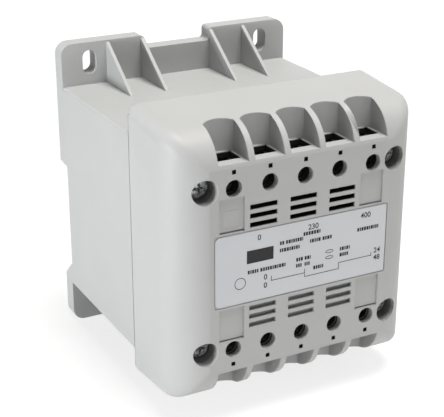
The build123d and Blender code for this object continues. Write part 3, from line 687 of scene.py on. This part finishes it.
# Turns of wire round a rounded rectangle, over a closed inner block.
def windingTree():
    tree, given = newGeometryTree("windingTree", {
        "Width": "Float", "Depth": "Float", "Height": "Float", "Build": "Float", "Corner": "Float",
        "Wire": "Float", "Turns": "Int", "Finish": "Material"})
    wire = given["Wire"]

    def loop(inset, corner):
        outline = tree.add("GeometryNodeCurvePrimitiveQuadrilateral", None, {
            "Width": given["Width"] - inset * 2.0, "Height": given["Depth"] - inset * 2.0}).outputs[0]
        return tree.add("GeometryNodeFilletCurve", {"mode": "POLY"}, {
            "Curve": outline, "Count": 8, "Radius": corner}).outputs[0]

    section = tree.add("GeometryNodeCurvePrimitiveCircle", None, {
        "Resolution": 8, "Radius": wire * 0.5}).outputs[0]
    turn = tree.add("GeometryNodeCurveToMesh", None, {
        "Curve": loop(wire * 0.5, given["Corner"]), "Profile Curve": section}).outputs[0]
    step = (given["Height"] - wire) / (given["Turns"] - 1.0)
    rows = tree.add("GeometryNodeMeshLine", None, {
        "Count": given["Turns"], "Start Location": vectorOf(tree, 0.0, 0.0, (wire - given["Height"]) * 0.5),
        "Offset": vectorOf(tree, 0.0, 0.0, step)}).outputs[0]
    turns = tree.add("GeometryNodeInstanceOnPoints", None, {"Points": rows, "Instance": turn}).outputs[0]
    inner = given["Build"] - wire * 0.6
    block = tree.add("GeometryNodeCurvePrimitiveQuadrilateral", None, {
        "Width": given["Height"] - wire * 0.2, "Height": inner}).outputs[0]
    fill = tree.add("GeometryNodeCurveToMesh", None, {
        "Curve": loop(wire * 0.6 + inner * 0.5, given["Corner"] * 0.6), "Profile Curve": block}).outputs[0]
    return closeTree(tree, joined(tree, turns, fill), given["Finish"])


# A stack of sheets along Y, each shifted by a hair.
def sheetTree():
    tree, given = newGeometryTree("sheetTree", {
        "Sheet": "Object", "Sheets": "Int", "Pitch": "Float", "Shift": "Float", "Seed": "Int",
        "Finish": "Material"})
    rows = tree.add("GeometryNodeMeshLine", None, {
        "Count": given["Sheets"], "Offset": vectorOf(tree, 0.0, given["Pitch"], 0.0)}).outputs[0]
    hair = tree.add("FunctionNodeRandomValue", {"data_type": "FLOAT_VECTOR"}, {
        "Min": vectorOf(tree, given["Shift"] * -1.0, 0.0, given["Shift"] * -1.0),
        "Max": vectorOf(tree, given["Shift"], 0.0, given["Shift"]), "Seed": given["Seed"]}).outputs[0]
    rows = tree.add("GeometryNodeSetPosition", None, {"Geometry": rows, "Offset": hair}).outputs[0]
    sheet = tree.add("GeometryNodeObjectInfo", None, {"Object": given["Sheet"]}).outputs["Geometry"]
    stack = tree.add("GeometryNodeInstanceOnPoints", None, {"Points": rows, "Instance": sheet}).outputs[0]
    return closeTree(tree, stack, given["Finish"])


# Screws

# Floor of the cross as a share of its mouth, and how far its cutter stands out of the head
crossRecess = {"taper": (0.55, 0.7), "clearance": 0.2 * mm}


# A turned head with a rounded edge, a shallow dome, a tapered cross recess and a slot.
def screwHead(name, sizes):
    radius, height, edge = sizes["headRadius"], sizes["headHeight"], sizes["edge"]
    profile = [(0.0, 0.0), (radius - 0.1 * mm, 0.0), (radius, 0.1 * mm)]
    for step in range(7):
        turn = math.radians(15 * step)
        profile.append((
            radius - edge + edge * math.cos(turn), height - edge - sizes["dome"] + edge * math.sin(turn)))
    profile.append((radius * 0.45, height - 0.2 * sizes["dome"]))
    profile.append((0.0, height))
    form = bmesh.new()
    lathe(form, profile, 48)
    head = linked(name, meshOf(name, form))
    cutter = bmesh.new()
    length, width, floor = sizes["crossLength"], sizes["crossWidth"], height - sizes["crossDepth"]
    mouth = crossOutline(length, width)
    base = crossOutline(length * crossRecess["taper"][0], width * crossRecess["taper"][1])
    top = [cutter.verts.new((x, y, height + crossRecess["clearance"])) for x, y in mouth]
    low = [cutter.verts.new((x, y, floor)) for x, y in base]
    cutter.faces.new(top)
    cutter.faces.new(list(reversed(low)))
    for index in range(len(mouth)):
        after = (index + 1) % len(mouth)
        cutter.faces.new((top[index], low[index], low[after], top[after]))
    half, reach = sizes["slotWidth"] / 2, radius * 1.2
    ceiling = height + crossRecess["clearance"] * 1.5
    addBox(cutter, (-reach, -half, height - sizes["slotDepth"]), (reach, half, ceiling))
    bmesh.ops.triangulate(cutter, faces=cutter.faces[:2])
    tool = linked(name + "Cutter", meshOf(name + "Cutter", cutter))
    cut = head.modifiers.new("recess", "BOOLEAN")
    cut.object = tool
    cut.operation = "DIFFERENCE"
    cut.solver = "EXACT"
    cut.use_self = True
    head.data = evaluatedMesh(head)
    head.modifiers.clear()
    bpy.data.objects.remove(tool)
    return head


coverScrew = {
    "headRadius": coverHeadRadius, "headHeight": 2.6 * mm, "edge": 1.1 * mm, "dome": 0.25 * mm,
    "crossLength": 4.6 * mm, "crossWidth": 1.0 * mm, "crossDepth": 1.9 * mm,
    "slotWidth": 0.9 * mm, "slotDepth": 0.8 * mm,
    "shankRadius": 2.0 * mm, "threadDepth": 0.36 * mm, "pitch": 1.41 * mm, "threadLength": 22.0 * mm,
}
terminalScrew = {
    "headRadius": 3.3 * mm, "headHeight": 2.4 * mm, "edge": 0.5 * mm, "dome": 0.12 * mm,
    "crossLength": 3.9 * mm, "crossWidth": 0.85 * mm, "crossDepth": 1.5 * mm,
    "slotWidth": 0.8 * mm, "slotDepth": 0.7 * mm,
    "shankRadius": 1.75 * mm, "threadDepth": 0.3 * mm, "pitch": 0.6 * mm, "threadLength": 7.0 * mm,
}
screws = screwTree()


def screwMesh(sizes, head, finish, places, shankLength):
    return grow(screws, pointMesh(places), {
        "Head": head, "Finish": finish, "Shank Radius": sizes["shankRadius"],
        "Thread Depth": sizes["threadDepth"], "Plain Length": shankLength - sizes["threadLength"],
        "Thread Length": sizes["threadLength"], "Pitch": sizes["pitch"]})


def makeCoverScrews():
    low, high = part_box("cover_screws")
    seat = low.y + coverScrew["headHeight"]
    side = coverScrew["headRadius"]
    places = [
        Vector((x, seat, z)) for x in (low.x + side, high.x - side) for z in (low.z + side, high.z - side)]
    head = screwHead("coverScrewHead", coverScrew)
    finish = finishes["cover_screw"]
    mesh = screwMesh(coverScrew, head, finish, places, high.y - seat)
    bpy.data.objects.remove(head)
    finishPiece("coverScrewSet", mesh, "case", finish, ["cover_screws"])


def makeTerminalScrews():
    head = screwHead("terminalScrewHead", terminalScrew)
    finish = finishes["dark_screw"]
    for name in sorted(terminalPlaces):
        low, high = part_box(name)
        seat = low.y + terminalScrew["headHeight"]
        place = Vector(((low.x + high.x) / 2, seat, (low.z + high.z) / 2))
        mesh = screwMesh(terminalScrew, head, finish, [place], high.y - seat)
        number = name[-2:]
        finishPiece("clampScrew" + number, mesh, "screw_" + number, finish, [name])
    bpy.data.objects.remove(head)


makeCoverScrews()
makeTerminalScrews()
print("screws made")


# Spring, windings and core

spring = {"wire": 0.4 * mm, "turns": 6.0, "points": 260, "endClosing": 0.8, "room": 0.15 * mm}
latchTravel = next(
    joint["range_m"][1] for joint in frame["record"]["behaviour"]["joints"] if joint["name"] == "latch_slide")


def makeSpring():
    low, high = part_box("latch_spring")
    middle = (low + high) / 2
    radius = (high.x - low.x - spring["wire"]) / 2
    length = high.z - low.z - spring["wire"]
    closing = spring["endClosing"] / (2 * math.pi)
    mesh = grow(coilTree(), pointMesh([(0, 0, 0)]), {
        "Radius": radius, "Wire Radius": spring["wire"] / 2, "Length": length, "Turns": spring["turns"],
        "Points": spring["points"], "End Closing": closing, "Finish": finishes["spring_steel"]})
    mesh.transform(Matrix.Translation((middle.x, middle.y, low.z + spring["wire"] / 2)))
    item = finishPiece(
        "latchSpringCoil", mesh, "case", finishes["spring_steel"], ["latch_spring"])
    keep = (high.z - low.z - latchTravel - spring["room"]) / (high.z - low.z)
    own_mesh(item)


windings = {
    "build": 11.2 * mm,
    "corner": 5.6 * mm,
    "cornerSteps": 8,
    "primary_winding": {"wire": 0.62 * mm, "turns": 29},
    "secondary_winding": {"wire": 1.18 * mm, "turns": 15},
    "tapeThickness": 0.08 * mm,
    "tapeShare": 0.56,
}


# A closed band round a rounded rectangle.
def roundedRing(form, width, depth, corner, low, high, thickness, middle):
    steps = windings["cornerSteps"]

    def outline(inset):
        points = []
        for side, (sx, sy) in enumerate(((1, 1), (-1, 1), (-1, -1), (1, -1))):
            for step in range(steps + 1):
                turn = math.radians(90 * side + 90 * step / steps)
                points.append((
                    sx * (width / 2 - corner) + (corner - inset) * math.cos(turn),
                    sy * (depth / 2 - corner) + (corner - inset) * math.sin(turn)))
        return points

    loops = []
    for inset, height in ((0, low), (0, high), (thickness, high), (thickness, low)):
        loops.append([form.verts.new((middle.x + x, middle.y + y, height)) for x, y in outline(inset)])
    count = len(loops[0])
    for index in range(4):
        first, second = loops[index], loops[(index + 1) % 4]
        for step in range(count):
            after = (step + 1) % count
            form.faces.new((first[step], first[after], second[after], second[step]))


def makeWindings():
    tree = windingTree()
    for node in ("primary_winding", "secondary_winding"):
        low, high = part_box(node)
        middle = (low + high) / 2
        tape = windings["tapeThickness"]
        width, depth, height = high.x - low.x - 2 * tape, high.y - low.y - 2 * tape, high.z - low.z
        mesh = grow(tree, pointMesh([(0, 0, 0)]), {
            "Width": width, "Depth": depth, "Height": height, "Build": windings["build"],
            "Corner": windings["corner"], "Wire": windings[node]["wire"], "Turns": windings[node]["turns"],
            "Finish": finishes["copper_wire"]})
        mesh.transform(Matrix.Translation(middle))
        title = node.split("_")[0]
        finishPiece(title + "WireTurns", mesh, "case", finishes["copper_wire"], [node], 60.0)
        band = bmesh.new()
        reach = height * windings["tapeShare"] / 2
        roundedRing(band, width + 2 * tape, depth + 2 * tape, windings["corner"] + tape,
                    middle.z - reach, middle.z + reach, tape, middle)
        finishPiece(title + "Tape", meshOf(title + "Tape", band), "case", finishes["tape"])


core = {
    "sheet": 0.5 * mm,
    "gap": 0.03 * mm,
    "shift": 0.03 * mm,
    "seed": 7,
    "holeRadius": 2.3 * mm,
    "holeSides": 20,
}


def circleOutline(x, z):
    turns = [2 * math.pi * step / core["holeSides"] for step in range(core["holeSides"])]
    radius = core["holeRadius"]
    return [(x + radius * math.cos(turn), z + radius * math.sin(turn)) for turn in turns]


# A flat sheet in X and Z with a round hole at each given place, as a closed solid.
def sheetObject(name, outline, holes):
    form = bmesh.new()
    edges = []
    for points in [outline] + [circleOutline(*hole) for hole in holes]:
        corners = [form.verts.new((x, 0.0, z)) for x, z in points]
        edges += [form.edges.new((corners[index - 1], corners[index])) for index in range(len(corners))]
    bmesh.ops.triangle_fill(form, edges=edges, use_beauty=True, normal=(0, -1, 0))
    lifted = bmesh.ops.extrude_face_region(form, geom=form.faces[:])
    for item in lifted["geom"]:
        if isinstance(item, bmesh.types.BMVert):
            item.co.y += core["sheet"] - core["gap"]
    return linked(name, meshOf(name, form))


def makeCore():
    tree = sheetTree()
    low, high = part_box("core_e_stack")
    yokeLow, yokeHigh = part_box("core_i_stack")
    shrink = core["shift"]
    leg = (high.x - low.x) / 3
    middle = (low.x + high.x) / 2
    left, right, bottom, top = low.x + shrink, high.x - shrink, low.z + shrink, high.z - shrink
    windowLow = low.z + leg / 2
    holeX, holeInset = 1.25 * leg, leg / 4
    outline = [
        (left, bottom), (right, bottom), (right, top), (middle + leg, top), (middle + leg, windowLow),
        (middle + leg / 2, windowLow), (middle + leg / 2, top), (middle - leg / 2, top),
        (middle - leg / 2, windowLow), (middle - leg, windowLow), (middle - leg, top), (left, top)]
    eSheet = sheetObject("eSheet", outline, [
        (middle - holeX, low.z + holeInset), (middle + holeX, low.z + holeInset)])
    yokeBottom, yokeTop = yokeLow.z + shrink, yokeHigh.z - shrink
    iSheet = sheetObject("iSheet", [
        (left, yokeBottom), (right, yokeBottom), (right, yokeTop), (left, yokeTop)], [
        (middle - holeX, yokeHigh.z - holeInset), (middle + holeX, yokeHigh.z - holeInset)])
    for name, sheet, node, start in (
            ("coreSheetsE", eSheet, "core_e_stack", low.y),
            ("coreSheetsI", iSheet, "core_i_stack", yokeLow.y)):
        count = round((high.y - low.y) / core["sheet"])
        mesh = grow(tree, pointMesh([(0, 0, 0)]), {
            "Sheet": sheet, "Sheets": count, "Pitch": core["sheet"], "Shift": shrink, "Seed": core["seed"],
            "Finish": finishes["core_steel"]})
        mesh.transform(Matrix.Translation((0, start + core["gap"] / 2, 0)))
        finishPiece(name, mesh, "case", finishes["core_steel"], [node])
        bpy.data.objects.remove(sheet)


makeSpring()
makeWindings()
makeCore()
print("spring, windings and core made")


# Print on the label: plain numbers, stepped lines and bars in place of small type

label = {
    "proud": 0.02 * mm,
    "numberHeight": 1.9 * mm,
    "numberWeight": 0.04 * mm,
    "letterHeight": 1.3 * mm,
    "letterWidths": (0.45, 0.9),  # these and the next two in millimetres
    "shortest": 0.3,
    "wordGap": 0.7,
    "letterGap": 0.22 * mm,
    "lineWidth": 0.24 * mm,
    "coilRadius": 1.6,  # in millimetres
    "coilSqueeze": 0.4,
    "ringSides": 28,
    "seed": 5,
}
# Plain numbers by their middle, in millimetres from the upper left corner of the label
labelNumbers = (
    (16.2, 2.6, "0"), (36.8, 2.7, "230"), (57.6, 2.6, "400"),
    (18.7, 17.3, "0"), (18.7, 20.3, "0"), (62.9, 16.6, "24"), (62.9, 19.3, "48"),
)
# Lines of small type by their left end, height and word lengths
labelLines = (
    (33.0, 4.9, (6.6,)), (24.0, 6.4, (1.6, 6.6)), (24.0, 9.0, (7.6,)), (35.6, 7.9, (4.2, 4.0)),
    (30.4, 13.7, (2.6, 2.4)), (30.4, 15.9, (2.6, 2.4)), (12.0, 14.4, (4.0, 9.6)), (37.2, 18.0, (4.4,)),
    (47.6, 13.2, (4.0,)), (47.6, 15.4, (3.8,)), (54.4, 7.6, (8.6,)),
)
# Stepped winding lines by their corners
labelSteps = (
    ((20.8, 17.4), (20.8, 19.0), (33.7, 19.0), (33.7, 17.6)),
    ((33.7, 19.4), (33.7, 20.4), (47.2, 20.4), (47.2, 18.1), (60.4, 18.1), (60.4, 16.9)),
)
labelField = (11.6, 6.7, 10.0, 4.6)  # left, top, width, height
labelCoils = ((43.4, 13.2), (43.4, 15.4))
labelRing = (9.2, 17.8, 2.1)  # middle and radius


def labelPoint(across, down):
    return Vector((labelLow.x + across * mm, labelLow.y - label["proud"], labelHigh.z - down * mm))


def addPatch(form, left, top, width, height):
    corners = [(left, top), (left, top + height), (left + width, top + height), (left + width, top)]
    form.faces.new([form.verts.new(labelPoint(*corner)) for corner in corners])


def addRing(form, across, down, radius, squeeze=1.0):
    width, count = label["lineWidth"] / mm, label["ringSides"]
    loops = []
    for reach in (radius, radius - width):
        loops.append([form.verts.new(labelPoint(
            across + reach * math.cos(2 * math.pi * step / count),
            down + (reach - radius + radius * squeeze) * math.sin(2 * math.pi * step / count)))
            for step in range(count)])
    for step in range(count):
        form.faces.new((loops[0][step - 1], loops[0][step], loops[1][step], loops[1][step - 1]))


def addTypeLine(form, draw, left, middle, words):
    height, gap = label["letterHeight"] / mm, label["letterGap"] / mm
    for length in words:
        end = left + length
        while left < end - label["shortest"]:
            width = min(draw.uniform(*label["letterWidths"]), end - left)
            addPatch(form, left, middle - height / 2, width, height)
            left += width + gap
        left = end + label["wordGap"]


def addNumber(form, across, down, digits):
    curve = bpy.data.curves.new("number", "FONT")
    curve.body = digits
    curve.size = label["numberHeight"] / 0.7  # digits are 0.7 of the type size
    curve.align_x = "CENTER"
    curve.offset = label["numberWeight"]
    item = linked("number", curve)
    flat = evaluatedMesh(item)
    bpy.data.objects.remove(item)
    middle = labelPoint(across, down + label["numberHeight"] / mm / 2)
    flat.transform(Matrix.Translation(middle) @ Matrix.Rotation(math.pi / 2, 4, "X"))
    form.from_mesh(flat)
    bpy.data.meshes.remove(flat)


def makePrint():
    draw = random.Random(label["seed"])
    form = bmesh.new()
    for across, down, digits in labelNumbers:
        addNumber(form, across, down, digits)
    for left, middle, words in labelLines:
        addTypeLine(form, draw, left, middle, words)
    width = label["lineWidth"] / mm
    for corners in labelSteps:
        for (x1, z1), (x2, z2) in zip(corners, corners[1:]):
            addPatch(form, min(x1, x2), min(z1, z2), abs(x2 - x1) + width, abs(z2 - z1) + width)
    addPatch(form, *labelField)
    for across, down in labelCoils:
        addRing(form, across, down, label["coilRadius"], label["coilSqueeze"])
    addRing(form, *labelRing)
    form.normal_update()
    for face in form.faces:
        if face.normal.y > 0:
            face.normal_flip()
    mesh = bpy.data.meshes.new("labelPrint")
    form.to_mesh(mesh)
    form.free()
    mesh.materials.append(finishes["print_ink"])
    item = linked("labelPrint", mesh)
    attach(item, "case")


makePrint()
print("print made")
